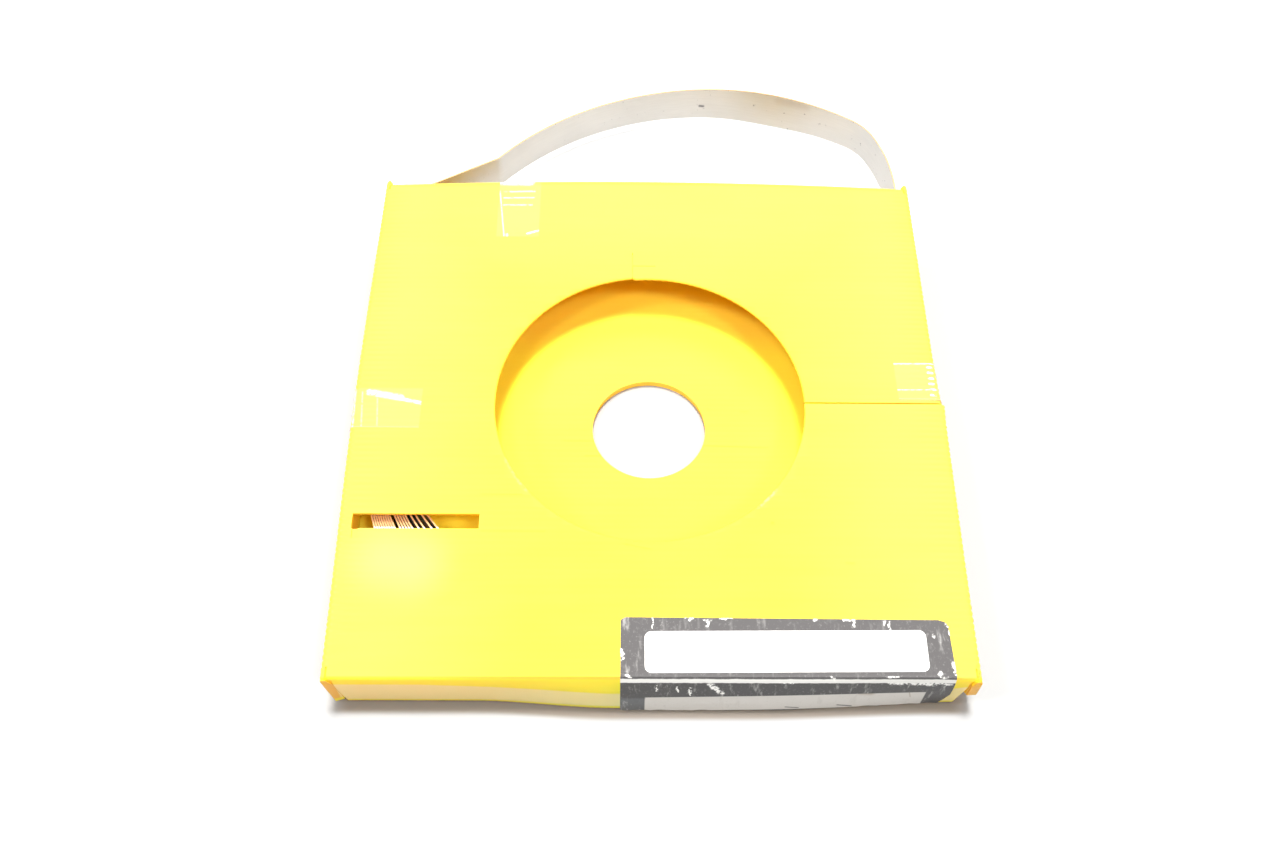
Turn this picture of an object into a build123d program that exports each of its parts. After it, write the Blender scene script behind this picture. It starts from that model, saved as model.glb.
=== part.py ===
"""Part-used roll of flat stainless steel banding in the folded plastic carton it is drawn from.

Millimetres. X runs to the right, Y to the back of the carton, Z up. The origin is the centre of the
small round hole in the carton's floor, at the underside, on the line that both round holes share.
"""
from build123d import *
from math import atan2, cos, pi, radians, sin
import os

# Strip, as rolled
strip_width = 19.05
strip_thickness = 0.762

# Sheet that the carton is folded from
sheet_thickness = 4.0
fold_radius = 6.0
side_fold_radius = 3.0

# Carton, outside
carton_width = 280.0
carton_depth = 280.0
strip_headroom = 2.35
carton_height = strip_width + strip_headroom + 2 * sheet_thickness

# Holes in the carton
floor_hole_radius = 28.1
lid_hole_radius = 74.5
window_length = 57.6
window_width = 7.6
window_wall_gap = 0.3
window_from_front = 71.4
lid_seam_gap = 0.6
corner_gap = 1.2
right_slot_length = 8.0
left_slot_length = 20.0

# Coil, lying against the left and front walls. Its bundles of touching turns are counted from the
# outside in, and each gap is the space inside the bundle before the next one
turn_bundles = [9, 5, 1, 1, 1, 1]
bundle_gaps = [1.4, 1.9, 1.4, 2.0, 1.6]
turn_pitch = 0.96
turn_relief = 6.0
wall_clearance = 0.3
coil_slack = 8.5

# Turn that has sprung out of the back of the carton. Headings are in degrees, anticlockwise from +X
exit_heading = 89.0
side_bend_radius = 92.0
side_bend_sweep = 26.0
shoulder_radius = 30.0
shoulder_sweep = 34.0
crease_from_left = 58.0
crease_reach = 22.5
entry_from_left = 16.0
tuck_radius = 24.0

# Clear tape
tape_width = 22.0
tape_thickness = 0.2
tape_drop = 14.0
back_tape_middle_from_left = 71.5
back_tape_run = 39.0
left_tape_middle_from_front = 135.5
left_tape_run = 31.5
right_tape_middle_from_front = 152.5
right_tape_run = 20.5

# Paper label
label_length = 143.0
label_run = 29.0
label_above_base = 6.5
label_thickness = 0.2
label_middle_from_right = 81.5

half_width = carton_width / 2
half_depth = carton_depth / 2
inner_half_width = half_width - sheet_thickness
inner_half_depth = half_depth - sheet_thickness
floor_top = sheet_thickness
lid_underside = carton_height - sheet_thickness
inside_height = lid_underside - floor_top

# How far a cutter runs on past the faces that it cuts
overcut = 1.0


def along_x(edges, length):
    """The edges that run straight along X for at least half of a length."""
    return [edge for edge in edges.filter_by(Axis.X) if edge.length > length / 2]


def along_y(edges, length):
    """The edges that run straight along Y for at least half of a length."""
    return [edge for edge in edges.filter_by(Axis.Y) if edge.length > length / 2]


def cutter(left, right, front, back, low, high):
    """A plain block between six limits, to cut with."""
    size = (right - left, back - front, high - low)
    middle = ((left + right) / 2, (front + back) / 2, (low + high) / 2)
    return Pos(*middle) * Box(*size)


def make_carton():
    """The folded carton: floor, four walls and a lid in two halves, with its holes and slots."""
    outside = Pos(0, 0, carton_height / 2) * Box(carton_width, carton_depth, carton_height)
    outside = fillet(along_x(outside.edges(), carton_width), fold_radius)
    outside = fillet(along_y(outside.edges(), carton_depth), side_fold_radius)
    inner_size = (2 * inner_half_width, 2 * inner_half_depth, inside_height)
    carton = outside - Pos(0, 0, carton_height / 2) * Box(*inner_size)

    # Round holes on one axis: the small one in the floor and the large one in the lid
    floor_hole = Pos(0, 0, floor_top / 2) * Cylinder(floor_hole_radius, 2 * sheet_thickness)
    lid_hole = Pos(0, 0, carton_height) * Cylinder(lid_hole_radius, 3 * sheet_thickness)
    carton = carton - floor_hole - lid_hole

    # Sight window over the coil
    window_left = window_wall_gap - inner_half_width
    window_front = window_from_front - half_depth
    window = cutter(window_left, window_left + window_length, window_front,
                    window_front + window_width, lid_underside - overcut, carton_height + overcut)
    carton = carton - window

    # Seam where the two halves of the lid meet, each side of the large hole
    seam = cutter(-half_width - overcut, half_width + overcut, -lid_seam_gap / 2, lid_seam_gap / 2,
                  lid_underside, carton_height + overcut)
    carton = carton - seam

    # Open ends of the back wall, where the strip passes
    right_slot = cutter(inner_half_width - right_slot_length, inner_half_width,
                        inner_half_depth - overcut, half_depth + overcut, floor_top, lid_underside)
    left_slot = cutter(-inner_half_width, left_slot_length - inner_half_width,
                       inner_half_depth - overcut, half_depth + overcut, floor_top, lid_underside)
    carton = carton - right_slot - left_slot

    # Open corners, where the end of each side wall stops short of the front wall
    for side in (-1, 1):
        near, far = sorted((side * inner_half_width, side * (half_width + overcut)))
        corner = cutter(near, far, -inner_half_depth, corner_gap - inner_half_depth,
                        floor_top, lid_underside)
        carton = carton - corner
    return carton


def coil_radii():
    """The outer and inner radius of each bundle of turns, from the outside in."""
    outer = min(inner_half_width, inner_half_depth) - wall_clearance - coil_slack
    radii = []
    for turns, gap in zip(turn_bundles, bundle_gaps + [0]):
        inner = outer - (turns - 1) * turn_pitch - strip_thickness
        radii.append((outer, inner))
        outer = inner - gap
    return radii


def coil_centre():
    """The coil's middle, seen from above, when it lies against the left and front walls."""
    reach = coil_radii()[0][0] + wall_clearance
    return Vector(reach - inner_half_width, reach - inner_half_depth)


def make_coil():
    """The wound turns as one turned ring, whose loose turns stand proud at both ends."""
    radii = coil_radii()
    low = floor_top
    high = floor_top + strip_width
    profile = Sketch()
    for outer, inner in radii:
        band = Pos((outer + inner) / 2, (low + high) / 2) * Rectangle(outer - inner, high - low)
        profile += band
    outermost, innermost = radii[0][0], radii[-1][1]
    core_height = strip_width - 2 * turn_relief
    core_middle = ((outermost + innermost) / 2, (low + high) / 2)
    profile += Pos(*core_middle) * Rectangle(outermost - innermost, core_height)
    ring = revolve(Plane.XZ * profile, Axis.Z)
    return Location(coil_centre()) * ring


def loop_path():
    """The middle line of the sprung turn, seen from above, from the coil's right side to its left."""
    turn_radius = coil_radii()[0][0] - strip_thickness / 2
    centre = coil_centre()

    # Through the open end of the back wall, beside the right wall
    wall_line = inner_half_width - wall_clearance - strip_thickness / 2
    leave = Vector(wall_line, half_depth)
    heading = radians(exit_heading)
    inward = Vector(-sin(heading), cos(heading))
    to_leave = leave - centre

    # A wide arc that leaves the coil's outer turn and reaches the slot at the right heading
    feed_radius = (turn_radius**2 - to_leave.length**2) / (2 * (inward.dot(to_leave) + turn_radius))
    feed_centre = leave + inward * feed_radius
    away = (centre - feed_centre).normalized()
    parting = centre + away * turn_radius
    feed_middle_angle = (atan2(away.Y, away.X) + heading - radians(90)) / 2
    feed_middle = feed_centre + Vector(cos(feed_middle_angle), sin(feed_middle_angle)) * feed_radius
    feed = ThreePointArc(parting, feed_middle, leave)

    # The free stretch behind the carton: two bends, then one wide arc to the crease near its left end
    side = JernArc(leave, (cos(heading), sin(heading)), side_bend_radius, side_bend_sweep)
    shoulder = JernArc(side @ 1, side % 1, shoulder_radius, shoulder_sweep)
    crease = Vector(crease_from_left - half_width, half_depth + crease_reach)
    back = TangentArc(shoulder @ 1, crease, tangent=shoulder % 1)

    # Straight from the crease through the left slot, then round to lie beside the left wall
    entry = Vector(entry_from_left - half_width, half_depth)
    corner = crease + (entry - crease) * ((-wall_line - crease.X) / (entry.X - crease.X))
    touch = Vector(-wall_line, centre.Y)
    tail = FilletPolyline(crease, corner, touch, radius=tuck_radius)
    return feed + side + shoulder + back + tail


def make_banding():
    """The strip: its wound turns and the one that has sprung out, as one solid."""
    loop_outline = trace(loop_path(), strip_thickness)
    loop = extrude(Pos(0, 0, floor_top) * loop_outline, strip_width, dir=(0, 0, 1))
    return make_coil() + loop


def over_edge(run, drop, radius, thickness, width):
    """A thin sheet laid on the lid and bent down over a fold, centred on the fold at the origin."""
    points = [(-run, 0), (-radius, 0), (0, -radius), (0, -drop),
              (thickness, -drop), (thickness, -radius), (-radius, thickness), (-run, thickness)]
    bend_centre = (-radius, -radius)
    under = CenterArc(bend_centre, radius, 0, 90)
    over = CenterArc(bend_centre, radius + thickness, 0, 90)
    outline = Line(points[0], points[1]) + under + Line(points[2], points[3])
    outline += Line(points[3], points[4]) + Line(points[4], points[5]) + over
    outline += Line(points[6], points[7]) + Line(points[7], points[0])
    profile = Plane.XZ * make_face(outline)
    return extrude(profile, width / 2, both=True)


def make_tapes():
    """Three short pieces of clear tape, each bent over an edge of the lid."""
    side = over_edge(left_tape_run, tape_drop, side_fold_radius, tape_thickness, tape_width)
    left = Pos(-half_width, left_tape_middle_from_front - half_depth, carton_height) * Rot(0, 0, 180) * side
    side = over_edge(right_tape_run, tape_drop, side_fold_radius, tape_thickness, tape_width)
    right = Pos(half_width, right_tape_middle_from_front - half_depth, carton_height) * side
    end = over_edge(back_tape_run, tape_drop, fold_radius, tape_thickness, tape_width)
    back = Pos(back_tape_middle_from_left - half_width, half_depth, carton_height) * Rot(0, 0, 90) * end
    return {"tape_left": left, "tape_right": right, "tape_back": back}


def make_label():
    """The paper label, stuck on the lid and down the front wall."""
    sheet = over_edge(label_run, carton_height - label_above_base, fold_radius, label_thickness,
                      label_length)
    return Pos(half_width - label_middle_from_right, -half_depth, carton_height) * Rot(0, 0, -90) * sheet


pieces = {"carton": make_carton(), "banding": make_banding(), "label": make_label()}
pieces.update(make_tapes())

os.makedirs("parts", exist_ok=True)
for name, piece in pieces.items():
    export_step(piece, f"parts/{name}.step")

wound = sum(pi * (outer + inner) * turns for (outer, inner), turns in zip(coil_radii(), turn_bundles))
print("strip wound", round(wound / 1000, 2), "m; sprung turn", round(loop_path().length / 1000, 2), "m")
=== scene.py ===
"""Part-used roll of flat stainless steel banding in its yellow folded carton, on a white table."""
import math

import bpy
from mathutils import Matrix, Vector
import numpy as np


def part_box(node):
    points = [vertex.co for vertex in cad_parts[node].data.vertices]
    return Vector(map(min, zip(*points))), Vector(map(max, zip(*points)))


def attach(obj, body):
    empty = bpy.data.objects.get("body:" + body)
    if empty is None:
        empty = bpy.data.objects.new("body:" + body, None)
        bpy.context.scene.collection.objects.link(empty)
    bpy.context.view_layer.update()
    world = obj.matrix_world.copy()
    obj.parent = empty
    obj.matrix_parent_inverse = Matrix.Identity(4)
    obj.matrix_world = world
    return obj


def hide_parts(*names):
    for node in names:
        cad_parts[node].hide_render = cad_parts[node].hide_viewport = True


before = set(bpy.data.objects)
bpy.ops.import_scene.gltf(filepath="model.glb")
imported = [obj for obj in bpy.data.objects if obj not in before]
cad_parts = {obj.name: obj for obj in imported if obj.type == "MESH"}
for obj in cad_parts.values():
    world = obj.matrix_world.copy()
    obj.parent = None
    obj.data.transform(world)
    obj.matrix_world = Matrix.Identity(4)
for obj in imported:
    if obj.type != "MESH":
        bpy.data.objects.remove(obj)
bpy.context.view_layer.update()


# Carton: one die-cut sheet of yellow fluted plastic, 4 mm thick, creased and folded round the roll. It
# makes the floor, the front and back walls and a lid in two halves, each with a flap down both sides.
# Its flutes run from side to side, and the roll's spring has pushed its walls a little out of square.
carton_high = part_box("carton")[1]
half_width = carton_high.x
half_depth = carton_high.y
carton_height = carton_high.z
sheet_thickness = 0.004
side_fold = 0.003
end_fold = 0.006
base_fold = 0.0045
flute_pitch = 0.003
flute_swell = 0.00035
seam_gap = 0.0006
end_clearance = 0.0003
flap_foot = 0.0004

# How near two points count as one
touch = 1e-5


def release():
    """Let go of every object, so that an operator acts only on what is picked next."""
    if bpy.context.object and bpy.context.object.mode != "OBJECT":
        bpy.ops.object.mode_set(mode="OBJECT")
    bpy.ops.object.select_all(action="DESELECT")


def hold(*pieces):
    """Pick these objects alone. The first is the one that operators work on."""
    release()
    for piece in pieces:
        piece.select_set(True)
    bpy.context.view_layer.objects.active = pieces[0]


def points_of(piece):
    """The places of a mesh's points, as three rows of X, Y and Z."""
    flat = np.empty(3 * len(piece.data.vertices))
    piece.data.vertices.foreach_get("co", flat)
    return flat.reshape(-1, 3).T


def move_points(piece, change):
    """Move the points of a mesh by a function of their places."""
    moved = np.array(change(*points_of(piece))).T
    piece.data.vertices.foreach_set("co", moved.ravel())
    piece.data.update()


def pick(piece, test):
    """Open a mesh for editing with the points that pass a test selected."""
    hold(piece)
    bpy.context.tool_settings.mesh_select_mode = (True, False, False)
    chosen = test(*points_of(piece))
    piece.data.edges.foreach_set("select", np.zeros(len(piece.data.edges), bool))
    piece.data.polygons.foreach_set("select", np.zeros(len(piece.data.polygons), bool))
    piece.data.vertices.foreach_set("select", chosen)
    bpy.ops.object.mode_set(mode="EDIT")


def draw_out(step, count=1):
    """Extrude what is selected by a step, several times."""
    for _ in range(count):
        bpy.ops.mesh.extrude_region()
        bpy.ops.transform.translate(value=step)


def make_panel(name, width, depth, middle, columns, rows):
    """A flat sheet divided into columns and rows."""
    release()
    bpy.ops.mesh.primitive_grid_add(x_subdivisions=columns, y_subdivisions=rows, size=1)
    panel = bpy.context.object
    panel.name = name
    panel.scale = (width, depth, 1)
    panel.location = middle
    bpy.ops.object.transform_apply(location=True, rotation=True, scale=True)
    return panel


def roll_over(middle, axis, degrees, steps):
    """Spin the selected edges round an axis through a point. Degrees go anticlockwise, seen from its tip."""
    bpy.ops.mesh.spin(steps=steps, angle=-math.radians(degrees), center=middle, axis=axis)


def face_out(piece):
    """Merge a skin's doubled points and turn its faces outwards, which is up on its highest face."""
    hold(piece)
    bpy.ops.object.mode_set(mode="EDIT")
    bpy.ops.mesh.select_all(action="SELECT")
    bpy.ops.mesh.remove_doubles(threshold=touch)
    bpy.ops.mesh.normals_make_consistent(inside=False)
    bpy.ops.object.mode_set(mode="OBJECT")
    highest = max(piece.data.polygons, key=lambda face: face.center.z)
    if highest.normal.z < 0:
        piece.data.flip_normals()


def thicken(piece, thickness, offset, group=""):
    """Give a skin its thickness: inside it at an offset of -1, outside it at 1, and half each way at 0."""
    hold(piece)
    gauge = piece.modifiers.new("gauge", "SOLIDIFY")
    gauge.thickness = thickness
    gauge.offset = offset
    gauge.vertex_group = group
    bpy.ops.object.modifier_apply(modifier=gauge.name)


def smooth(piece, degrees):
    """Shade a mesh smooth, apart from the edges that are sharper than an angle."""
    hold(piece)
    bpy.ops.object.shade_smooth_by_angle(angle=math.radians(degrees))


class Wire:
    """A shader node's output. Sums of wires and numbers add the Math nodes that work them out."""

    def __init__(self, socket):
        self.socket = socket

    def node(self, kind, settings=None, values=None, output=0):
        """A new node of the same material: its settings first, then its sockets' values or links."""
        tree = self.socket.id_data
        made = tree.nodes.new("ShaderNode" + kind)
        settings = settings or {}
        for name, value in settings.items():
            setattr(made, name, value)
        for name, value in (values or {}).items():
            if isinstance(value, Wire):
                tree.links.new(value.socket, made.inputs[name])
            else:
                made.inputs[name].default_value = value
        return Wire(made.outputs[output])

    def maths(self, operation, *values):
        return self.node("Math", {"operation": operation}, dict(enumerate(values)))

    def __add__(self, other):
        return self.maths("ADD", self, other)

    def __radd__(self, other):
        return self.maths("ADD", other, self)

    def __sub__(self, other):
        return self.maths("SUBTRACT", self, other)

    def __rsub__(self, other):
        return self.maths("SUBTRACT", other, self)

    def __mul__(self, other):
        return self.maths("MULTIPLY", self, other)

    def __rmul__(self, other):
        return self.maths("MULTIPLY", other, self)

    def __truediv__(self, other):
        return self.maths("DIVIDE", self, other)

    def __abs__(self):
        return self.maths("ABSOLUTE", self)

    def root(self):
        return self.maths("SQRT", self)

    def cosine(self):
        return self.maths("COSINE", self)

    def at_least(self, other):
        return self.maths("MAXIMUM", self, other)

    def at_most(self, other):
        return self.maths("MINIMUM", self, other)

    def ramp(self, low, high, smooth=True):
        """0 below one limit and 1 above the other, with a soft step between them."""
        kind = "SMOOTHSTEP" if smooth else "LINEAR"
        limits = {"Value": self, "From Min": low, "From Max": high}
        return self.node("MapRange", {"interpolation_type": kind}, limits)

    def noise(self, scale, detail=2.0, roughness=0.5, stretch=(1, 1, 1)):
        """Soft random patches about a metre divided by the scale across, from 0 to 1."""
        place = self.node("VectorMath", {"operation": "MULTIPLY"}, {0: self, 1: stretch})
        values = {"Vector": place, "Scale": scale, "Detail": detail, "Roughness": roughness}
        return self.node("TexNoise", {"noise_dimensions": "3D"}, values)

    def blend(self, first, second):
        """One colour where this is 0 and another where it is 1."""
        made = self.node("Mix", {"data_type": "RGBA"}, {"Factor": self}, 2)
        tree = self.socket.id_data
        mix = made.socket.node
        for socket, colour in ((mix.inputs[6], first), (mix.inputs[7], second)):
            if isinstance(colour, Wire):
                tree.links.new(colour.socket, socket)
            else:
                socket.default_value = (*colour, 1)
        return made

    def feed(self, shader, name):
        """Lead this wire into one of a shader's sockets."""
        self.socket.id_data.links.new(self.socket, shader.inputs[name])


def make_finish(piece, name, **constants):
    """A new material on a piece. Gives its shader, its place wire and the place's three numbers in mm."""
    finish = bpy.data.materials.new(name)
    finish.use_nodes = True
    piece.data.materials.clear()
    piece.data.materials.append(finish)
    shader = finish.node_tree.nodes["Principled BSDF"]
    for socket, value in constants.items():
        shader.inputs[socket.replace("_", " ")].default_value = value
    place = Wire(finish.node_tree.nodes.new("ShaderNodeTexCoord").outputs["Object"])
    millimetres = place.node("VectorMath", {"operation": "SCALE"}, {"Scale": 1000.0, 0: place})
    return shader, place, [millimetres.node("SeparateXYZ", {}, {0: millimetres}, axis) for axis in range(3)]


def bump(height, shader, distance, strength=1.0):
    """Relief on a shader: a height from 0 to 1 over a distance in metres."""
    values = {"Height": height, "Distance": distance, "Strength": strength}
    height.node("Bump", {}, values).feed(shader, "Normal")


def between(value, low, high, blur):
    """1 between two limits and 0 beyond them, softened over a blur."""
    return value.ramp(low - blur, low + blur) * (1 - value.ramp(high - blur, high + blur))


def strongest(wires):
    """The largest of several wires at each place."""
    largest, *others = wires
    for wire in others:
        largest = largest.at_least(wire)
    return largest


flat_half_width = half_width - side_fold
flat_half_depth = half_depth - end_fold
lid_half_depth = flat_half_depth - seam_gap / 2
lid_columns = 40
row_depth = 0.0005


def make_lid_half(name):
    """The front half of the lid, with its two side flaps and the crease over its end wall."""
    rows = round(lid_half_depth / row_depth)
    middle = (0, -seam_gap / 2 - lid_half_depth / 2, carton_height)
    skin = make_panel(name, 2 * flat_half_width, lid_half_depth, middle, lid_columns, rows)
    for side in (-1, 1):
        pick(skin, lambda x, y, z: side * x > flat_half_width - touch)
        crease = (side * flat_half_width, 0, carton_height - side_fold)
        roll_over(crease, (0, 1, 0), side * 90, 5)
        drop = carton_height - side_fold - flap_foot
        draw_out((0, 0, -drop / 8), 8)
        pick(skin, lambda x, y, z: (side * x > flat_half_width + touch) & (y < touch - flat_half_depth))
        draw_out((0, -end_fold / 6, 0), 6)
    pick(skin, lambda x, y, z: (y < touch - flat_half_depth) & (z > carton_height - touch))
    crease = (0, -flat_half_depth, carton_height - end_fold)
    roll_over(crease, (1, 0, 0), 90, 8)
    bpy.ops.object.mode_set(mode="OBJECT")
    return skin


front_lid = make_lid_half("carton")
rear_lid = make_lid_half("rear_lid")
move_points(rear_lid, lambda x, y, z: (-x, -y, z))

# The front wall, floor and back wall are drawn on from the front lid's crease
wall_top = carton_height - end_fold
pick(front_lid, lambda x, y, z: (y < touch - half_depth) & (abs(z - wall_top) < touch)
     & (abs(x) < flat_half_width + touch))
wall_rows = 10
wall_step = (wall_top - base_fold) / wall_rows
draw_out((0, 0, -wall_step), wall_rows)
base_crease = (0, base_fold - half_depth, base_fold)
roll_over(base_crease, (1, 0, 0), 90, 4)
floor_rows = 60
floor_depth = 2 * (half_depth - base_fold)
draw_out((0, floor_depth / floor_rows, 0), floor_rows)
base_crease = (0, half_depth - base_fold, base_fold)
roll_over(base_crease, (1, 0, 0), 90, 4)
draw_out((0, 0, wall_step), wall_rows)

carton = front_lid
hold(front_lid, rear_lid)
bpy.ops.object.join()

# The end walls and floor stand between the side flaps, and the front wall is cut slanting at its ends
end_wall_reach = half_width - sheet_thickness - end_clearance
slant = 0.0045


def trim_ends(x, y, z):
    """Draw the ends of the front wall, floor and back wall in between the side flaps."""
    lid_part = z > carton_height - end_fold / 2
    flap = abs(x) > flat_half_width + touch
    down = np.clip((carton_height - end_fold / 2 - z) / carton_height, 0, 1)
    front = np.clip((-y - half_depth + end_fold) / end_fold, 0, 1)
    reach = end_wall_reach - slant * down * front
    trimmed = np.sign(x) * np.minimum(abs(x), reach)
    return np.where(lid_part | flap, x, trimmed), y, z


move_points(carton, trim_ends)


def swell_flutes(x, y, z):
    """Puff the flutes out between their webs, where the sheet is bent over the side folds."""
    over = np.clip(abs(x) - flat_half_width, 0, side_fold) / side_fold
    down = np.clip(z - (carton_height - side_fold), 0, side_fold) / side_fold
    near_lid = np.clip(1 - (flat_half_width - abs(x)) / 0.008, 0, 1)
    near_flap = np.clip(1 - (carton_height - side_fold - z) / 0.010, 0, 1)
    puff = flute_swell * (abs(np.cos(math.pi * y / flute_pitch)) - 1) * near_lid * near_flap
    outward = np.where(abs(x) > flat_half_width - touch, np.maximum(over, 0.1), 0.3)
    return x + np.sign(x) * puff * outward, y, z + puff * np.maximum(down, 0)


move_points(carton, swell_flutes)


def close_seam(x, y, z):
    """Shut the lid's seam left of the large hole, and let the front half dip a little on the right."""
    shut = (x < 0) & (abs(y) < seam_gap)
    lid_part = z > carton_height - side_fold
    dip = 0.0006 * np.exp(-abs(y) / 0.0016) * (x > 0) * (y < 0) * lid_part
    return x, np.where(shut, 0.05 * y, y), z - dip


low_facet = 0.0065
high_facet = 0.0130


def facet_height(x):
    """How far the crushed fold over the front wall reaches down it. It is taller beside the label."""
    rise = np.clip((x + 0.100) / 0.080, 0, 1) * np.clip((half_width - x) / 0.020, 0, 1)
    return low_facet + (high_facet - low_facet) * rise


def crush_front_fold(x, y, z):
    """Press the bend over the front wall into the steep facet that use has made of it."""
    box = 0.020
    tall = facet_height(x)
    deep = 0.0012 + 0.12 * (tall - low_facet)
    forward = box - half_depth - y
    upward = z - carton_height + box
    bent = (forward > 0) & (upward > 0) & (abs(x) < flat_half_width + touch)
    distance = np.maximum(np.hypot(forward, upward), touch)
    across, rise = np.maximum(forward / distance, touch), np.maximum(upward / distance, touch)
    reaches = [box / rise, box / across, (box * (tall + deep) - tall * deep) / (tall * across + deep * rise)]
    softness = 0.0005
    nearest = np.minimum.reduce(reaches)
    spread = sum(np.exp((nearest - reach) / softness) for reach in reaches)
    share = np.where(bent, (nearest - softness * np.log(spread)) / distance, 1)
    return x, box - half_depth - forward * share, carton_height - box + upward * share


def tear_flaps(x, y, z):
    """Shorten the front ends of the side flaps, which are torn off, and lean the left one inwards."""
    flap = (abs(x) > flat_half_width) & (z < carton_height - side_fold + touch)
    front = np.clip((-y - 0.122) / 0.018, 0, 1) ** 2
    torn = np.where(x > 0, 0.0125, 0.0020) * front
    whole = carton_height - side_fold
    raised = torn + (z - flap_foot) * (whole - torn - flap_foot) / (whole - flap_foot) + flap_foot
    lean = np.where(x < 0, 0.0024, 0.0004) * front * (1 - z / carton_height)
    return np.where(flap, x + lean, x), y, np.where(flap, raised, z)


move_points(carton, close_seam)
move_points(carton, crush_front_fold)
move_points(carton, tear_flaps)


front_bow = 0.0037
back_bow = 0.0041


def settle(x, y, z):
    """Where the spring of the roll and use have pushed the carton, from its folded place."""
    height = np.clip(z / carton_height, 0, 1)
    across = np.clip(abs(x) / half_width, 0, 1) ** 3
    side = 0.001 + 0.0017 * np.cos(math.pi * y / 0.330) ** 2
    front_right = 0.0012 + 0.0012 * np.cos(math.pi * y / 0.260) ** 2
    front_right += 0.0009 * np.exp(np.minimum(y, 0) / 0.008)
    back_right = 0.0008 + 0.0012 * np.exp(-np.maximum(y, 0) / 0.012)
    right = np.where(y < 0, front_right, back_right)
    moved_x = x + across * np.where(x < 0, -side, right)
    bow = np.clip(1 - (x / half_width) ** 2, 0, 1)
    swell = np.clip((x + 0.078) / 0.062, 0, 1) * np.clip((half_width - x) / 0.095, 0, 1)
    swell = swell**2 * (3 - 2 * swell)
    front = np.clip((-y - 0.115) / (half_depth - 0.115), 0, 1)
    back = np.clip((y - 0.060) / (half_depth - 0.060), 0, 1)
    moved_y = y - front_bow * swell * front * (1 - height) + back_bow * bow * back**2
    return moved_x, moved_y, z


move_points(carton, settle)
creases = carton.vertex_groups.new(name="creases")
x, y, z = points_of(carton)
on_crease = (abs(x) > flat_half_width + 0.0003) & (z > carton_height - side_fold - touch)
everything = [int(index) for index in np.nonzero(~on_crease)[0]]
folded = [int(index) for index in np.nonzero(on_crease)[0]]
creases.add(everything, 1, "REPLACE")
creases.add(folded, 0.7, "REPLACE")
face_out(carton)
thicken(carton, sheet_thickness, -1, creases.name)


def make_lathe(name, profile, segments, middle=(0, 0)):
    """A solid of revolution to cut with, through a list of radii and heights from the top down."""
    release()
    radius, height = profile[0]
    bpy.ops.mesh.primitive_circle_add(vertices=segments, radius=radius, location=(*middle, height))
    cutter = bpy.context.object
    cutter.name = name
    bpy.ops.object.transform_apply(location=True, rotation=True, scale=True)
    bpy.ops.object.mode_set(mode="EDIT")
    bpy.ops.mesh.select_all(action="SELECT")
    bpy.ops.mesh.edge_face_add()
    for next_radius, next_height in profile[1:]:
        draw_out((0, 0, next_height - height))
        share = next_radius / radius
        bpy.ops.transform.resize(value=(share, share, 1), center_override=(*middle, next_height))
        radius, height = next_radius, next_height
    bpy.ops.mesh.select_all(action="SELECT")
    bpy.ops.mesh.normals_make_consistent(inside=False)
    bpy.ops.object.mode_set(mode="OBJECT")
    return cutter


def make_block(name, left, right, front, back, low, high):
    """A plain block between six limits, to cut with."""
    release()
    bpy.ops.mesh.primitive_cube_add(size=1)
    block = bpy.context.object
    block.name = name
    block.scale = (right - left, back - front, high - low)
    block.location = ((left + right) / 2, (front + back) / 2, (low + high) / 2)
    bpy.ops.object.transform_apply(location=True, rotation=True, scale=True)
    return block


def cut(piece, *cutters):
    """Cut the solids of some cutters out of a piece, and take the cutters away."""
    hold(*cutters)
    if len(cutters) > 1:
        bpy.ops.object.join()
    cutter = bpy.context.object
    hold(piece)
    knife = piece.modifiers.new("cut", "BOOLEAN")
    knife.operation = "DIFFERENCE"
    knife.solver = "EXACT"
    knife.object = cutter
    bpy.ops.object.modifier_apply(modifier=knife.name)
    bpy.data.objects.remove(cutter)


# The holes are punched by toothed rules. They crush the sheet's top skin a little way down, and tear
# its underside back behind the skin in small scallops
tooth_pitch = 0.00355
lid_hole_radius = 0.0745
floor_hole_radius = 0.0281
lip = 0.0014
torn_back = 0.0028
teeth = round(2 * math.pi * lid_hole_radius / tooth_pitch)
top = carton_height
lid_hole = make_lathe("lid_hole", [
    (lid_hole_radius + 0.0012, top + 0.0030), (lid_hole_radius + 0.0008, top + 0.0001),
    (lid_hole_radius + 0.0003, top - 0.0002), (lid_hole_radius, top - 0.0007),
    (lid_hole_radius, top - lip), (lid_hole_radius + torn_back, top - lip - 0.0002),
    (lid_hole_radius + torn_back, top - sheet_thickness - 0.0020)], teeth * 8)


def wear_rim(x, y, z):
    """Raise the torn edge in scallops, and let the rim's rear left stand back from where two cuts met."""
    angle = np.arctan2(y, x)
    scallop = 0.0004 * abs(np.sin(teeth / 2 * angle)) * ((z < top - 0.0010) & (z > top - 0.0020))
    degrees = np.degrees(angle)
    step = 0.0009 * np.clip((degrees - 95) / 1.5, 0, 1) * np.clip((178 - degrees) / 60, 0, 1)
    stretch = 1 + step / lid_hole_radius
    return x * stretch, y * stretch, z + scallop


move_points(lid_hole, wear_rim)
floor_hole = make_lathe("floor_hole", [
    (floor_hole_radius, 0.008), (floor_hole_radius, sheet_thickness - 0.0016),
    (floor_hole_radius + 0.0003, sheet_thickness - 0.0020), (floor_hole_radius + 0.0003, -0.004)], 180)

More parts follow.
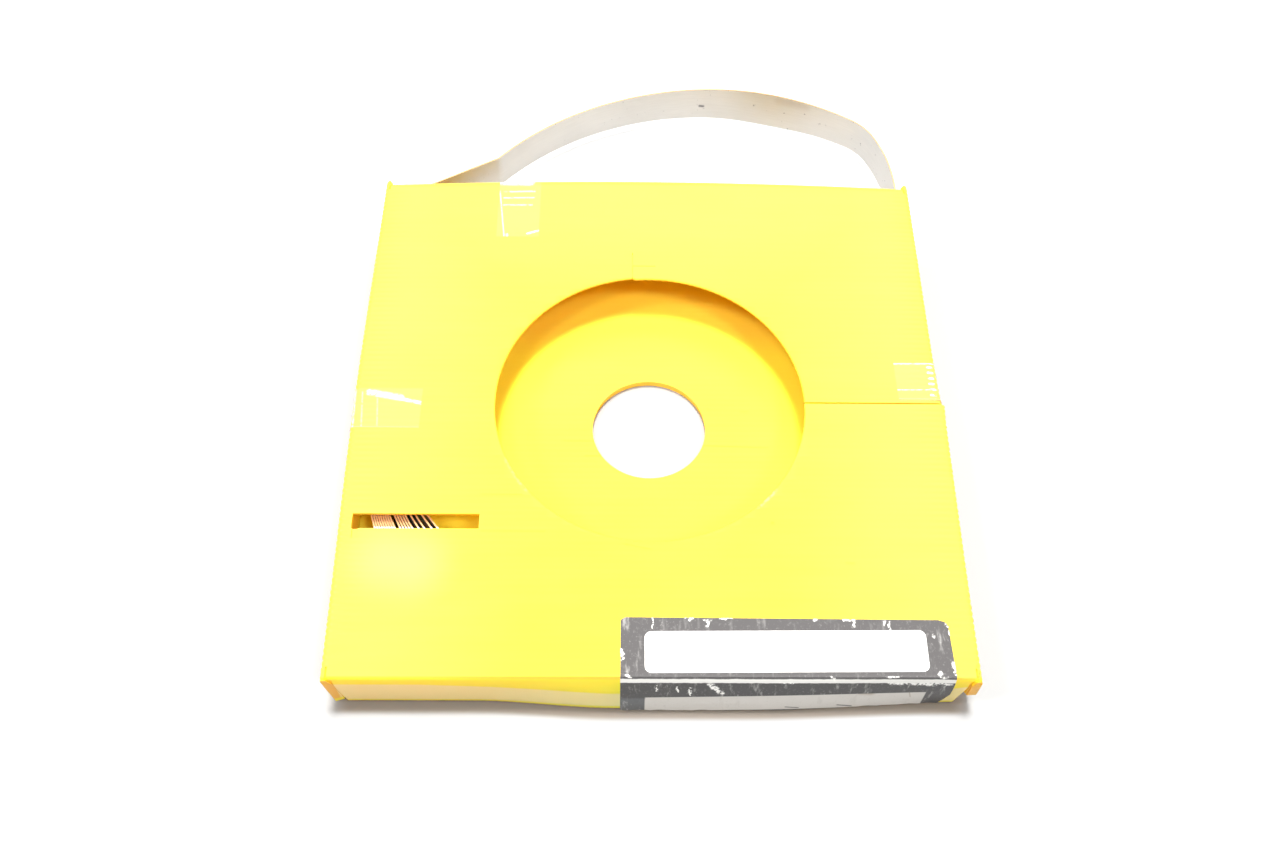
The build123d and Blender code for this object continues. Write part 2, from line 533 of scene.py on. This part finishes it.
window_left = -0.1357
window_right = -0.0781
window_front = -0.0686
window_back = -0.0610
window = make_block("window", window_left, window_right, window_front, window_back,
                    top - 0.006, top + 0.003)
window_torn = make_block("window_torn", window_left, window_right, window_back - 0.001,
                         window_back + torn_back, top - 0.006, top - lip)
over_cut = make_block("over_cut", -0.1352, -0.1325, -0.0736, window_front + 0.001, top - 0.0009, top + 0.003)
slit = make_block("slit", -0.0087, -0.0083, lid_hole_radius - 0.0020, 0.0912, top - 0.0012, top + 0.003)
slit_branch = make_block("slit_branch", -0.0085, 0.0034, 0.0827, 0.0830, top - 0.0008, top + 0.003)
inside_reach = half_width - sheet_thickness
slot_ends = [(inside_reach - 0.008, inside_reach), (-inside_reach, 0.020 - inside_reach)]
back_slots = [make_block("slot", left, right, half_depth - 0.010, half_depth + 0.010,
                         sheet_thickness, carton_height - sheet_thickness) for left, right in slot_ends]

# Cutters that overlap each other are used one after another
cut(carton, lid_hole, floor_hole, window, *back_slots)
cut(carton, window_torn, over_cut)
cut(carton, slit)
cut(carton, slit_branch)
smooth(carton, 35)


def let_through(shader, share, colour):
    """Let a share of the light pass through a sheet, tinted by it."""
    tree = shader.id_data
    thin = tree.nodes.new("ShaderNodeBsdfTranslucent")
    thin.inputs["Color"].default_value = (*colour, 1)
    mix = tree.nodes.new("ShaderNodeMixShader")
    mix.inputs["Fac"].default_value = share
    tree.links.new(shader.outputs[0], mix.inputs[1])
    tree.links.new(thin.outputs[0], mix.inputs[2])
    output = next(node for node in tree.nodes if node.type == "OUTPUT_MATERIAL")
    tree.links.new(mix.outputs[0], output.inputs["Surface"])


def streak(x, y, start, end, width):
    """1 along a straight mark between two places in mm, fading to 0 at its width."""
    run = (end[0] - start[0], end[1] - start[1])
    length = math.hypot(*run)
    run = (run[0] / length, run[1] / length)
    forward = (x - start[0]) * run[0] + (y - start[1]) * run[1]
    beyond = (-1 * forward).at_least(forward - length).at_least(0)
    aside = (x - start[0]) * run[1] - (y - start[1]) * run[0]
    return 1 - (aside * aside + beyond * beyond).root().ramp(0, width)


def streaks(x, y, marks, widen=1.0):
    """The strongest of several straight marks, each given by its two ends and its width."""
    return strongest(streak(x, y, start, end, widen * width) for start, end, width in marks)


shader, place, (x, y, z) = make_finish(carton, "yellow_fluted_plastic", Roughness=0.42, IOR=1.53)
patches = place.noise(14, 3)
grain = place.noise(60, 3, stretch=(0.35, 3, 1))
tone = 0.6 * patches + 0.4 * grain
yellow = tone.ramp(0.3, 0.7).blend((0.955, 0.775, 0.066), (0.975, 0.800, 0.078))

# Marks on the lid, then on the floor: dark lines and spots, each by its two ends and its width
lid_marks = [((-78.1, -50.9), (-59.3, -50.9), 0.5), ((-76.9, -69.7), (-48.1, -69.7), 0.4),
             ((55, -65.1), (55.4, -65.0), 1.2), ((-11.9, -76), (-0.7, -78.4), 0.5),
             ((87.5, -84.9), (90.5, -85.2), 1.2), ((130.3, 114.6), (130.8, 114.6), 1.1)]
floor_marks = [((29.9, 11.9), (30.1, 11.9), 0.8), ((46, 10.3), (50.1, 10.3), 0.5),
               ((27.3, -9.5), (59, -10.7), 0.5), ((-42.6, -7.3), (-24.3, -7.3), 0.5),
               ((-31.6, -15.7), (0.4, -15.7), 0.5)]
on_lid = z.ramp(27, 28)
on_floor = 1 - z.ramp(5, 6)
worn = (on_lid * streaks(x, y, lid_marks)).at_least(on_floor * streaks(x, y, floor_marks))
yellow = (0.55 * worn).blend(yellow, (0.42, 0.20, 0.02))

# The lid is painted paler towards its sides and back, a painted sheen, and paler still in a patch near its
# front left corner
painted_sheen = (0.75 * abs(x).ramp(50, 130)).at_least(0.6 * y.ramp(50, 125)) * (0.5 + tone) * on_lid
yellow = painted_sheen.blend(yellow, (0.98, 0.81, 0.115))
patch = streak(x, y, (-118, -84), (-108, -86), 26) * on_lid
yellow = (0.9 * patch).blend(yellow, (0.98, 0.83, 0.190))

# The front wall's fold is painted bright, a painted light, and the wall below it paler, a painted reflection
# of the table. The torn ends of the flaps are painted a deeper colour, a painted shade, and the right one is
# worn through to brown
fold_line = 22.9 - 6.5 * (x + 100).ramp(0, 80, False) * (140 - x).ramp(0, 20, False)
front_face = 1 - (y + 138.9).ramp(0, 0.5)
below_fold = 1 - (z - fold_line).ramp(-0.6, 0.6)
# Painted light brightens the fold's facet, and a painted reflection of the table pales the wall below it
yellow = (front_face * (1 - below_fold)).blend(yellow, (1.0, 1.0, 0.045))
yellow = (0.9 * front_face * below_fold).blend(yellow, (0.97, 0.98, 0.46))
on_flap = abs(x).ramp(135.9, 136.1)
# Painted shade: the torn ends of the flaps are darkened to orange
shaded_torn_end = (1 - (y + 139.4).ramp(0, 0.3)) * on_flap * (1 - z.ramp(27.5, 28.5))
yellow = (0.8 * shaded_torn_end).blend(yellow, (0.90, 0.50, 0.03))
worn_corner = streak(x, y, (139, -134), (140.5, -139), 2.2) * place.noise(420, 3).ramp(0.48, 0.62)
yellow = (0.7 * worn_corner).blend(yellow, (0.35, 0.18, 0.03))

# The large hole's rim is rubbed pale at its front left and front right, and a thin dark line runs along its
# front. The ring of floor in the lid's shade is a lighter yellow, for the light that the walls pass on
across = (x * x + y * y).root()
rubbed = streak(x, y, (-66, -33), (-58, -47), 3.5).at_least(streak(x, y, (50, -56), (57, -49), 3.0))
rubbed = rubbed * between(across, 74, 76.2, 0.4) * place.noise(500, 2).ramp(0.35, 0.6) * on_lid
yellow = (0.45 * rubbed).blend(yellow, (0.96, 0.90, 0.45))
lit_floor = on_floor * across.ramp(58, 66) * (1 - y.ramp(40, 62))
yellow = lit_floor.blend(yellow, (1.0, 1.0, 0.075))
dark_line = between(across, 74.0, 74.9, 0.15) * on_lid * (0 - y).ramp(55, 68)
(0.5 * dark_line).blend(yellow, (0.55, 0.30, 0.02)).feed(shader, "Base Color")
(0.38 + 0.10 * tone).feed(shader, "Roughness")
flutes = abs((y / (1000 * flute_pitch) * math.pi).cosine())
bump(0.10 * flutes + 0.25 * place.noise(9, 2) + 0.12 * grain, shader, 0.0004)
let_through(shader, 0.40, (1.0, 0.62, 0.07))

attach(carton, "root")
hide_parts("carton")

# Banding: about 14 m of flat stainless steel strip, 19 mm wide and 0.76 mm thick, slit and wound into 18
# turns that lie on the floor against the left and front walls. One turn has sprung out of the back of
# the carton, through the open ends of the back wall, and is kinked near its left end.
strip_width = 0.01905
strip_thickness = 0.000762
strip_foot = sheet_thickness
wall_line = half_width - sheet_thickness - 0.0003 - strip_thickness / 2
coil_middle = np.array((-0.0085, -0.0085))
coil_radius = 0.126819
parting_angle = math.radians(-11.886)

# The turns as the sight window shows them, each by its step inward from the one outside it
window_row = -0.0581
outer_turn = -0.1288
turn_steps = [0] + [0.00096] * 8 + [0.00213] + [0.00112] * 4 + [0.00235, 0.00213, 0.00277, 0.00235]
outer_centre, inner_centre = np.array((-0.0049, -0.0186)), np.array((-0.0285, 0.0008))
lean_at_window = 0.93
least_step = 0.00080
stations = 120
angles = np.linspace(0, 2 * math.pi, stations, endpoint=False)
seen_angle = math.atan2(window_row - coil_middle[1], -0.115 - coil_middle[0]) % (2 * math.pi)
from_window = abs((angles - seen_angle + math.pi) % (2 * math.pi) - math.pi)
as_seen = np.exp(-((from_window / math.radians(28)) ** 2))
closest = coil_radius


def wall_reach(angle):
    """How far the strip can lie from the coil's middle before it meets a wall."""
    across, along = np.cos(angle), np.sin(angle)
    to_side = (np.sign(across) * wall_line - coil_middle[0]) / np.where(abs(across) < 1e-6, 1e-6, across)
    to_end = (np.sign(along) * wall_line - coil_middle[1]) / np.where(abs(along) < 1e-6, 1e-6, along)
    return np.minimum(abs(to_side), abs(to_end))


def circle_reach(angle, centre, radius):
    """How far a circle lies from the coil's middle in a direction."""
    offset = centre - coil_middle
    along = offset[0] * np.cos(angle) + offset[1] * np.sin(angle)
    return along + np.sqrt(along**2 + radius**2 - offset @ offset)


turns = []
inward = 0
for step in turn_steps:
    inward += step
    share = inward / sum(turn_steps)
    centre = outer_centre + (inner_centre - outer_centre) * share
    seen = np.array((outer_turn + inward / lean_at_window, window_row))
    radius = np.linalg.norm(seen - centre)
    closest -= min(step, 0.00090)
    reach = closest + (circle_reach(angles, centre, radius) - closest) * as_seen
    limit = turns[-1] - least_step if turns else wall_reach(angles)
    turns.append(np.minimum(reach, limit))

# From the inner end outwards, each turn growing into the next one, and the last into the parting turn
path = []
spins = len(turns) - 1
for count in range(spins * stations):
    spin = count / stations
    angle = seen_angle + spin * 2 * math.pi
    outer, inner = turns[spins - 1 - int(spin)], turns[spins - int(spin)]
    here = np.interp(angle % (2 * math.pi), angles, inner, period=2 * math.pi)
    there = np.interp(angle % (2 * math.pi), angles, outer, period=2 * math.pi)
    reach = here + (there - here) * (spin % 1)
    path.append(coil_middle + reach * np.array((math.cos(angle), math.sin(angle))))
to_parting = (parting_angle - seen_angle) % (2 * math.pi)
for angle in np.linspace(0, to_parting, 48, endpoint=False):
    share = angle / to_parting
    reach = np.interp((seen_angle + angle) % (2 * math.pi), angles, turns[0], period=2 * math.pi)
    reach += (coil_radius - reach) * share**2 * (3 - 2 * share)
    direction = seen_angle + angle
    path.append(coil_middle + reach * np.array((math.cos(direction), math.sin(direction))))


def bend(place, heading, radius, sweep, spacing=0.0025):
    """The points of a bend in the strip, the place where it ends and its heading there."""
    count = max(2, round(abs(radius * sweep) / spacing))
    middle = place + radius * np.array((-math.sin(heading), math.cos(heading)))
    turned = [heading + sweep * (step + 1) / count for step in range(count)]
    points = [middle - radius * np.array((-math.sin(angle), math.cos(angle))) for angle in turned]
    return points, points[-1], turned[-1]


# The sprung turn: each bend's radius and sweep in degrees, from where it leaves the coil
place = coil_middle + coil_radius * np.array((math.cos(parting_angle), math.sin(parting_angle)))
heading = parting_angle + math.pi / 2
path.append(place)
loop_start = len(path)
for radius, sweep in ((0.92633, 10.886), (0.092, 26), (0.030, 34), (0.15527, 79.9)):
    points, place, heading = bend(place, heading, radius, math.radians(sweep))
    path += points
entry = np.array((-0.124, half_depth))
heading = math.atan2(*(entry - place)[::-1]) % (2 * math.pi)
tuck_radius = 0.024
to_wall = (place[0] + wall_line) / -math.cos(heading)
setback = tuck_radius * math.tan((1.5 * math.pi - heading) / 2)
run_count = 24
run = (to_wall - setback) / run_count
for step in range(run_count):
    place = place + run * np.array((math.cos(heading), math.sin(heading)))
    path.append(place)
points, place, heading = bend(place, heading, tuck_radius, 1.5 * math.pi - heading)
path += points
tail_count = 40
tail = (place[1] - coil_middle[1]) / tail_count
for step in range(tail_count):
    place = place - np.array((0, tail))
    path.append(place)
path = np.array(path)

along = np.gradient(path, axis=0)
along /= np.linalg.norm(along, axis=1)[:, None]
outward = np.array((along[:, 1], -along[:, 0])).T
run_lengths = np.concatenate(([0], np.cumsum(np.linalg.norm(np.diff(path, axis=0), axis=1))))
loop_run = run_lengths - run_lengths[loop_start]
top_lean = 0.0005 + 0.0021 * np.exp(-((loop_run - 0.287) / 0.062) ** 2)
foot_lean = -0.0005 - 0.0020 * np.exp(-((loop_run - 0.278) / 0.025) ** 2)
outside = np.clip((loop_run - 0.170) / 0.030, 0, 1) * np.clip((0.485 - loop_run) / 0.030, 0, 1)
top_lean, foot_lean = top_lean * outside, foot_lean * outside

banding = make_panel("banding", 1, 1, (0, 0, 0), len(path) - 1, 4)


def wind(x, y, z):
    """Lay the flat strip along its path, standing on one edge."""
    station = (x + 0.5) * (len(path) - 1)
    order = np.arange(len(path))
    lean = np.interp(station, order, foot_lean) * (0.5 - y) + np.interp(station, order, top_lean) * (y + 0.5)
    placed = [np.interp(station, order, path[:, axis]) + lean * np.interp(station, order, outward[:, axis])
              for axis in (0, 1)]
    return placed[0], placed[1], strip_foot + (y + 0.5) * strip_width


move_points(banding, wind)
thicken(banding, strip_thickness, 0)
smooth(banding, 30)
shader, place, (x, y, z) = make_finish(banding, "stainless_strip")
brushed = place.noise(300, 3, stretch=(0.3, 0.3, 6))
cloudy = place.noise(35, 3)
steel = (0.5 * brushed + 0.5 * cloudy).ramp(0.25, 0.75).blend((0.53, 0.515, 0.49), (0.60, 0.585, 0.56))
stains = streak(x, z, (76, 20.5), (91.5, 21), 4) * (y - 140).ramp(0, 10)
steel = (0.35 * stains).blend(steel, (0.42, 0.36, 0.33))
specks = place.noise(420, 2).ramp(0.70, 0.76) * (y - 140).ramp(0, 5)
spot = streak(x, z, (31, 12.1), (33, 11.9), 1.3) * (y - 150).ramp(0, 10)
steel = (0.55 * specks).at_least(0.9 * spot).blend(steel, (0.10, 0.10, 0.11))

# Its slit edges are dull and pale. The shade that the window's rear edge casts on the turns behind the line
# at
# -65 mm is painted into their colour
half_strip = 500 * strip_width
sheared = abs(z - strip_foot * 1000 - half_strip).ramp(half_strip - 0.12, half_strip - 0.04)
in_shade = y.ramp(-65.4, -64.2)
edge = in_shade.blend((0.80, 0.79, 0.80), (0.52, 0.30, 0.14))
sheared.blend(steel, edge).feed(shader, "Base Color")
(1 - sheared).feed(shader, "Metallic")
(0.36 + 0.14 * brushed + 0.10 * sheared).feed(shader, "Roughness")
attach(banding, "root")
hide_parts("banding")


# Tapes: three short pieces of clear packing tape that hold the lid's halves and its back edge shut. Each
# is 22 mm wide and is pressed over an edge of the lid, with its skin wrinkled and scuffed white in places,
# and highlights and reflections on its folds and wrinkles painted white onto it.
def drape(name, centre, width, run, drop, fold, heading, cells):
    """A thin sheet laid on the lid up to an edge, and bent down over the edge's crease."""
    flat = run - fold
    middle = (0, -fold - flat / 2, carton_height)
    sheet = make_panel(name, width, flat, middle, round(width / cells), round(flat / cells))
    pick(sheet, lambda x, y, z: y > -fold - touch)
    roll_over((0, -fold, carton_height - fold), (1, 0, 0), -90, 8)
    rows = round((drop - fold) / cells)
    draw_out((0, 0, -(drop - fold) / rows), rows)
    bpy.ops.object.mode_set(mode="OBJECT")
    cosine, sine = round(math.cos(heading)), round(math.sin(heading))

    def set_down(x, y, z):
        return centre[0] + cosine * x - sine * y, centre[1] + sine * x + cosine * y, z

    move_points(sheet, set_down)
    return sheet


def stick(sheet, thickness):
    """Lift a draped sheet a hair off what it is stuck to, and give it its thickness on top."""
    face_out(sheet)
    normals = np.array([vertex.normal[:] for vertex in sheet.data.vertices]).T
    move_points(sheet, lambda x, y, z: (x + glue * normals[0], y + glue * normals[1], z + glue * normals[2]))
    thicken(sheet, thickness, 1)
    smooth(sheet, 40)


glue = 0.00004
tape_width = 0.022
tape_thickness = 0.0001
tape_drop = 0.014
tapes = {"tape_back": ((-0.0685, half_depth), 0.039, end_fold, 0),
         "tape_left": ((-half_width, -0.0045), 0.0315, side_fold, math.pi / 2),
         "tape_right": ((half_width, 0.0125), 0.0205, side_fold, -math.pi / 2)}

# White marks on each tape, by their two ends, half width and strength: streaks where it has lifted, and
# painted highlights and reflections on its folds and wrinkles
white_marks_and_highlights = {"tape_back": [((-79, 139.8), (-63.5, 139.6), 3.2, 0.9), ((-77, 132.6), (-61, 133.1), 0.8, 0.35),
                        ((-77, 128.3), (-61, 128.6), 0.8, 0.30), ((-77, 123.3), (-62, 123.5), 0.8, 0.25),
                        ((-79.4, 133), (-75.6, 101), 0.5, 0.4), ((-63.5, 103.8), (-56.5, 106.4), 0.9, 0.8),
                        ((-57, 106), (-56.6, 102.8), 0.9, 0.8), ((-74.3, 103.2), (-74.1, 102.2), 0.9, 0.7)],
          # The left tape's first three streaks are a painted reflection of a wrinkle
          "tape_left": [((-135, 4.3), (-120, 1.3), 2.4, 0.75), ((-122, 1.2), (-108.2, -2.0), 1.3, 0.85),
                        ((-108.6, -2.4), (-107.9, -6.5), 0.8, 0.6),
                        # A painted highlight along the left tape's fold
                        ((-142, 5.5), (-141.2, -15.5), 0.8, 0.35),
                        ((-138.5, 4.4), (-137, -15.5), 0.6, 0.15), ((-131, 1), (-129.5, -15.5), 0.6, 0.12)],
          "tape_right": [((120, 22.9), (141, 23.1), 0.6, 0.5), ((118.5, 7.6), (140, 7.8), 0.5, 0.4)]}
# Painted highlights on the flute scallops along the right tape's fold
for spot in range(6):
    white_marks_and_highlights["tape_right"].append(((136.6, 21 - 3.25 * spot), (138.6, 20.8 - 3.25 * spot), 0.9, 0.85))

# A brown line along each tape's front edge, painted shade of the lid's seam on the right tape: from and to
# in Y, and its strength
front_edges = {"tape_back": (100.7, 104, 0), "tape_left": (-16.1, -15.2, 0.35),
               "tape_right": (1.4, 2.5, 0.35)}
for name, (centre, run, fold, heading) in tapes.items():
    tape = drape(name, centre, tape_width, run, tape_drop, fold, heading, 0.0005)
    move_points(tape, settle)
    stick(tape, tape_thickness)
    shader, place, (x, y, z) = make_finish(tape, "clear_" + name, Roughness=0.10, IOR=1.48)
    torn = place.noise(700, 3).ramp(0.30, 0.55)
    # White marks on the tape, partly painted highlights and reflections
    white = torn * strongest(strength * streak(x, y, start, end, width)
                             for start, end, width, strength in white_marks_and_highlights[name])
    low, high, depth = front_edges[name]
    # The brown front-edge line, painted seam shade on the right tape
    brown_edge_line = depth * between(y, low, high, 0.3)
    (brown_edge_line * 2.5).at_most(1).blend((0.83, 0.83, 0.80), (0.45, 0.25, 0.05)).feed(shader, "Base Color")
    (0.02 + white.at_least(brown_edge_line)).at_most(0.95).feed(shader, "Alpha")
    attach(tape, "root")
    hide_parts(name)


# Label: a printed paper label, stuck on the lid beside its front edge and down the front wall. Its dark
# border is scuffed and chipped, its two white fields are bare, and it is rubbed white along the crease.
label_left = -0.0137
label_right = 0.1287
label_top = 0.1112
label_foot = 0.0019
label_thickness = 0.0001
label_length = label_right - label_left
label = drape("label", ((label_left + label_right) / 2, -half_depth), label_length, half_depth - label_top,
              carton_height - label_foot, end_fold, math.pi, 0.0010)


def corner_inset(distance, radius):
    """How far a round corner draws in a side at a distance from the corner's other side."""
    left = np.clip(radius - distance, 0, radius)
    return radius - np.sqrt(radius**2 - left**2)


def trim_label(x, y, z):
    """Round the label's corners, bow its right edge and leave its lower edge ragged."""
    down = carton_height - y - z
    share = (x - label_left) / label_length
    left = label_left + corner_inset(down - label_top, 0.0022)
    bowed = 0.0012 * np.clip((down - 0.112) / 0.034, 0, 1) - 0.0034 * np.clip((down - 0.156) / 0.011, 0, 1)
    right = label_right - 0.0008 + bowed - corner_inset(down - label_top, 0.0040)
    ragged = 0.0012 * np.clip((share - 0.5) / 0.5, 0, 1) + 0.0003 * abs(np.sin(210 * x) + np.sin(470 * x))
    low = np.clip((0.008 - z) / 0.006, 0, 1)
    near_top = np.clip((label_top + 0.006 + y) / 0.006, 0, 1)
    return left + share * (right - left), y - 0.0009 * share * near_top, z + low * ragged


move_points(label, trim_label)
move_points(label, crush_front_fold)
move_points(label, settle)
stick(label, label_thickness)

shader, place, (x, y, z) = make_finish(label, "printed_label", Roughness=0.5)
down = carton_height * 1000 - y - z


def rounded(across, along, left, right, low, high, radius):
    """1 inside a rectangle with round corners."""
    aside = (abs(across - (left + right) / 2) - ((right - left) / 2 - radius)).at_least(0)
    beyond = (abs(along - (low + high) / 2) - ((high - low) / 2 - radius)).at_least(0)
    reach = aside * aside + beyond * beyond
    return 1 - reach.root().ramp(radius - 0.12, radius + 0.12)


# The border's print, thinner and darker below the crease, with fine rubs and the chips that show paper
rubs = place.noise(260, 4, 0.65, (1, 0.25, 0.25)).ramp(0.54, 0.72)
dust = place.noise(900, 3, 0.7).ramp(0.55, 0.75)
wander_x = x + 5 * (place.noise(330, 3, 0.6) - 0.5)
wander_down = down + 4 * (place.noise(300, 3, 0.6, (1, 1.3, 0.8)) - 0.5)
flaked = 1.8 * place.noise(800, 3, 0.6).ramp(0.36, 0.60)
lower_half = down.ramp(142.0, 143.5)
ink = lower_half.blend((0.082, 0.077, 0.076), (0.050, 0.047, 0.046))
# A painted sheen lightens the border's lower part at its left end
sheen = between(down, 158.5, 172, 1.0) * (1 - x.ramp(-4, -2))
ink = (0.5 * sheen).blend(ink, (0.14, 0.15, 0.155))
ends = (1 - x.ramp(-12, -2)).at_least(x.ramp(118, 128))
scuffed = (0.10 + 0.18 * ends + 0.22 * lower_half) * rubs + 0.12 * dust
chips = [((0.2, 111), (0.0, 116.2), 0.45), ((14.2, 111.2), (17.3, 111.3), 0.9),
         ((16, 111.5), (16.3, 112.7), 0.6), ((22.8, 112.2), (25.2, 112.3), 0.5),
         ((23.8, 112.5), (23.9, 115), 0.7), ((30.5, 111.5), (34.5, 111.6), 0.5),
         ((-13.6, 126.5), (-13.5, 129.7), 1.1), ((-10.4, 137), (-10.2, 138.6), 0.9),
         ((70.7, 111.6), (70.9, 112.4), 0.7), ((84, 112), (88, 112.1), 0.6),
         ((87.9, 112), (87.8, 115.4), 0.6), ((100.7, 112.7), (100.5, 114.9), 0.5),
         ((102.9, 112.6), (103.1, 117.8), 0.45), ((122, 118.6), (122, 120), 0.8),
         ((128.6, 113.5), (129.4, 119), 0.5), ((123.2, 136.4), (124.6, 138.6), 1.3),
         ((129.2, 131), (129.6, 137), 0.8), ((99.8, 138.6), (104, 138.4), 0.8),
         ((77, 138.6), (78.2, 142.9), 0.8), ((24.4, 144.6), (29.6, 153), 1.6),
         ((2.1, 146), (2.1, 151), 0.4), ((16.7, 148.5), (16.8, 155.5), 0.6),
         ((10.7, 147), (11.2, 152), 0.45), ((102, 143.6), (121, 145.8), 1.6),
         ((54, 142.6), (60, 143.6), 0.6), ((115, 143.5), (128, 145.2), 1.2)]
bare = rounded(x, down + 0.0075 * (x + 3.3), -3.3, 118.6, 117.6, 136.4, 3.0)
bare = bare.at_least(flaked * streaks(wander_x, wander_down, chips, 1.3))
crease = between(0.75 * down + 0.25 * wander_down, 140.2, 143.7, 0.3)
bare = bare.at_least(0.92 * crease).at_most(1)
printed = bare.at_least(scuffed).blend(ink, (0.80, 0.785, 0.74))

# The lower field leans with the sheet, and is greyer and stained
field_top = down - (157.5 - 0.036 * x)
field_foot = down - (171.6 - 0.030 * x)
lower_field = field_top.ramp(-0.15, 0.15) * (1 - field_foot.ramp(-0.15, 0.15)) * between(x, -3, 119, 0.3)
lower_field = lower_field * (1 - streak(x, down, (-4.2, 155), (-4, 158.6), 1.8))
paper = (0.5 * rubs + 0.5 * dust).blend((0.56, 0.53, 0.485), (0.44, 0.41, 0.37))
stain = streaks(x, down, [((91, 153.6), (95, 154.2), 3.0), ((111.6, 152.8), (113, 158.5), 0.5)])
paper = (0.55 * stain).blend(paper, (0.25, 0.18, 0.10))
slivers = streaks(x, down, [((81.9, 166.2), (88, 167.6), 0.9), ((59, 167.4), (64.6, 168.4), 0.7)])
printed = lower_field.blend(printed, paper)
slivers.blend(printed, (0.03, 0.03, 0.035)).feed(shader, "Base Color")
(0.45 + 0.2 * bare).feed(shader, "Roughness")
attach(label, "root")
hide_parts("label")


# The table that the carton stands on for its picture: a plain pale floor, lit softly from all round
floor = make_panel("table", 6, 6, (0, 0, -0.0002), 1, 1)
shader, place, (x, y, z) = make_finish(floor, "white_table", Roughness=0.6, Emission_Strength=0.45)

# It is painted with a glow behind the carton, where the picture's table is pure white, and with a painted
# shadow just in front of it
y.ramp(105, 135).blend((0, 0, 0), (1, 1, 1)).feed(shader, "Emission Color")
front_shade = 144.3 + 2.8 * (x + 78).ramp(0, 62) * (1 - (x - 40).ramp(0, 95))
shaded = between(0 - y, 130, front_shade, 1.5) * abs(x).ramp(146, 132)
(0.9 * shaded).blend((0.33, 0.33, 0.33), (0.17, 0.14, 0.112)).feed(shader, "Base Color")

# The camera looks at a place on the table from a distance, and leans a little to one side
target = Vector((-0.004352, 0.003783, 0))
distance = 0.625554
azimuth = math.radians(-1.836)
elevation = math.radians(58.714)
roll = math.radians(1.916)
level = math.cos(elevation)
back = Vector((math.sin(azimuth) * level, -math.cos(azimuth) * level, math.sin(elevation)))
right = (-back).cross(Vector((0, 0, 1))).normalized()
up = right.cross(-back)
right, up = right * math.cos(roll) + up * math.sin(roll), up * math.cos(roll) - right * math.sin(roll)
camera_data = bpy.data.cameras.new("camera")
camera_data.lens = 34.943
camera_data.sensor_width = 36
camera = bpy.data.objects.new("camera", camera_data)
turned = Matrix((right, up, back)).transposed().to_4x4()
camera.matrix_world = Matrix.Translation(target + back * distance) @ turned
bpy.context.scene.collection.objects.link(camera)
bpy.context.scene.camera = camera

# A dim sky, four broad lamps far away, each by its direction and the light it gives a level face, and a
# softbox low behind the carton. The key lamp isn't mirrored in anything
world = bpy.data.worlds.new("world")
world.use_nodes = True
world.node_tree.nodes["Background"].inputs["Color"].default_value = (1, 1, 1, 1)
world.node_tree.nodes["Background"].inputs["Strength"].default_value = 0.12
bpy.context.scene.world = world
bpy.context.scene.view_settings.view_transform = "Standard"

lamps = {"front_right": ((8.4, -9.6, 21.4), 0.42), "front_left": ((-5, -9, 21.4), 0.32),
         "left": ((-17, -3, 21.4), 0.34), "key": ((0, 4.0, 21.4), 1.85)}
for name, (direction, level) in lamps.items():
    lamp = bpy.data.lights.new(name, "SUN")
    slope = Vector(direction).normalized()
    lamp.energy = level * math.pi / slope.z
    lamp.angle = math.radians(11)
    holder = bpy.data.objects.new(name, lamp)
    holder.visible_glossy = name != "key"
    holder.rotation_euler = slope.to_track_quat("Z", "Y").to_euler()
    bpy.context.scene.collection.objects.link(holder)

softbox_data = bpy.data.lights.new("softbox", "AREA")
softbox_data.shape = "RECTANGLE"
softbox_data.size = 1.4
softbox_data.size_y = 0.6
softbox_distance = 1.5
softbox_data.energy = 4.2 * math.pi * softbox_data.size * softbox_data.size_y
softbox = bpy.data.objects.new("softbox", softbox_data)
softbox_height = math.radians(46)
slope = Vector((0, math.cos(softbox_height), math.sin(softbox_height)))
softbox.location = slope * softbox_distance
softbox.rotation_euler = slope.to_track_quat("Z", "Y").to_euler()
bpy.context.scene.collection.objects.link(softbox)
